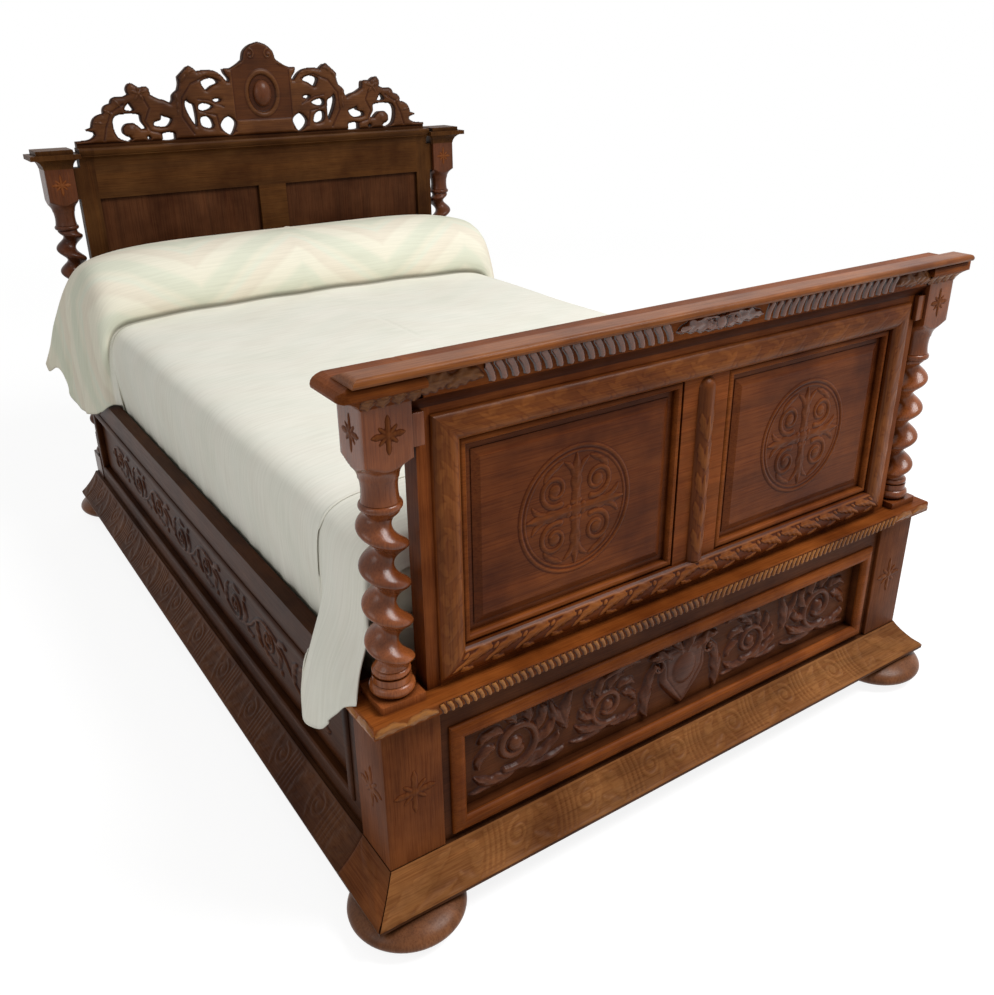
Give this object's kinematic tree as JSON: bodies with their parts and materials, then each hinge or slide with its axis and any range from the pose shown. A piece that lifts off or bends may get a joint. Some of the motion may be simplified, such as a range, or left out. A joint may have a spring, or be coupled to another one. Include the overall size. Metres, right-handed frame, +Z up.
{
  "type": "carved double bed",
  "caption": "Carved oak double bed with bun feet, panelled foot end between twist columns, panelled headboard with a pierced crest, side rails and made-up bedding",
  "frame": {"origin": "on the floor, under the middle of the overall box", "axes": "X across the bed, Y along it with the headboard at +Y, Z up"},
  "size_m": [1.589, 2.228, 1.429],
  "materials": {
    "foot_oak": "satin",
    "carved_oak": "satin",
    "plinth_oak": "satin",
    "rail_oak": "satin",
    "head_oak": "satin",
    "dark_oak": "satin",
    "plain_pine": "matte",
    "ticking": "matte",
    "bolster_cotton": "matte",
    "spread_cotton": "matte"
  },
  "bodies": {
    "root": {"bun_foot_front_left": "dark_oak", "bun_foot_front_right": "dark_oak", "bun_foot_rear_left": "dark_oak", "bun_foot_rear_right": "dark_oak", "foot_plinth": "plinth_oak", "foot_post_left": "foot_oak", "foot_post_right": "foot_oak", "foot_lower_panel": "foot_oak", "foot_lower_moulding": "foot_oak", "foot_lower_carving": "carved_oak", "foot_ledge": "foot_oak", "foot_ledge_gadroons": "carved_oak", "foot_column_left": "foot_oak", "foot_column_right": "foot_oak", "foot_frame": "foot_oak", "foot_leaf_moulding": "carved_oak", "foot_panel_left": "foot_oak", "foot_panel_right": "foot_oak", "foot_bead_left": "foot_oak", "foot_bead_right": "foot_oak", "foot_wheel_left": "carved_oak", "foot_wheel_right": "carved_oak", "foot_staff": "carved_oak", "foot_frieze": "dark_oak", "foot_cornice": "foot_oak", "foot_gadroons": "carved_oak", "foot_cap_left": "foot_oak", "foot_cap_right": "foot_oak", "foot_top_board": "foot_oak", "head_column_left": "head_oak", "head_column_right": "head_oak", "headboard_frame": "head_oak", "headboard_panel_left": "dark_oak", "headboard_panel_right": "dark_oak", "head_cap_left": "head_oak", "head_cap_right": "head_oak", "head_cornice": "head_oak", "crest": "head_oak", "crest_scrolls": "carved_oak", "crest_boss": "carved_oak", "side_rail_left": "rail_oak", "side_rail_right": "rail_oak", "rail_moulding_left": "rail_oak", "rail_moulding_right": "rail_oak", "rail_carving_left": "carved_oak", "rail_carving_right": "carved_oak", "rail_plinth_left": "plinth_oak", "rail_plinth_right": "plinth_oak", "ledger_left": "plain_pine", "ledger_right": "plain_pine", "slats": "plain_pine", "box_spring": "ticking", "mattress": "ticking", "bolster": "bolster_cotton", "bedspread": "spread_cotton"}
  },
  "joints": []
}
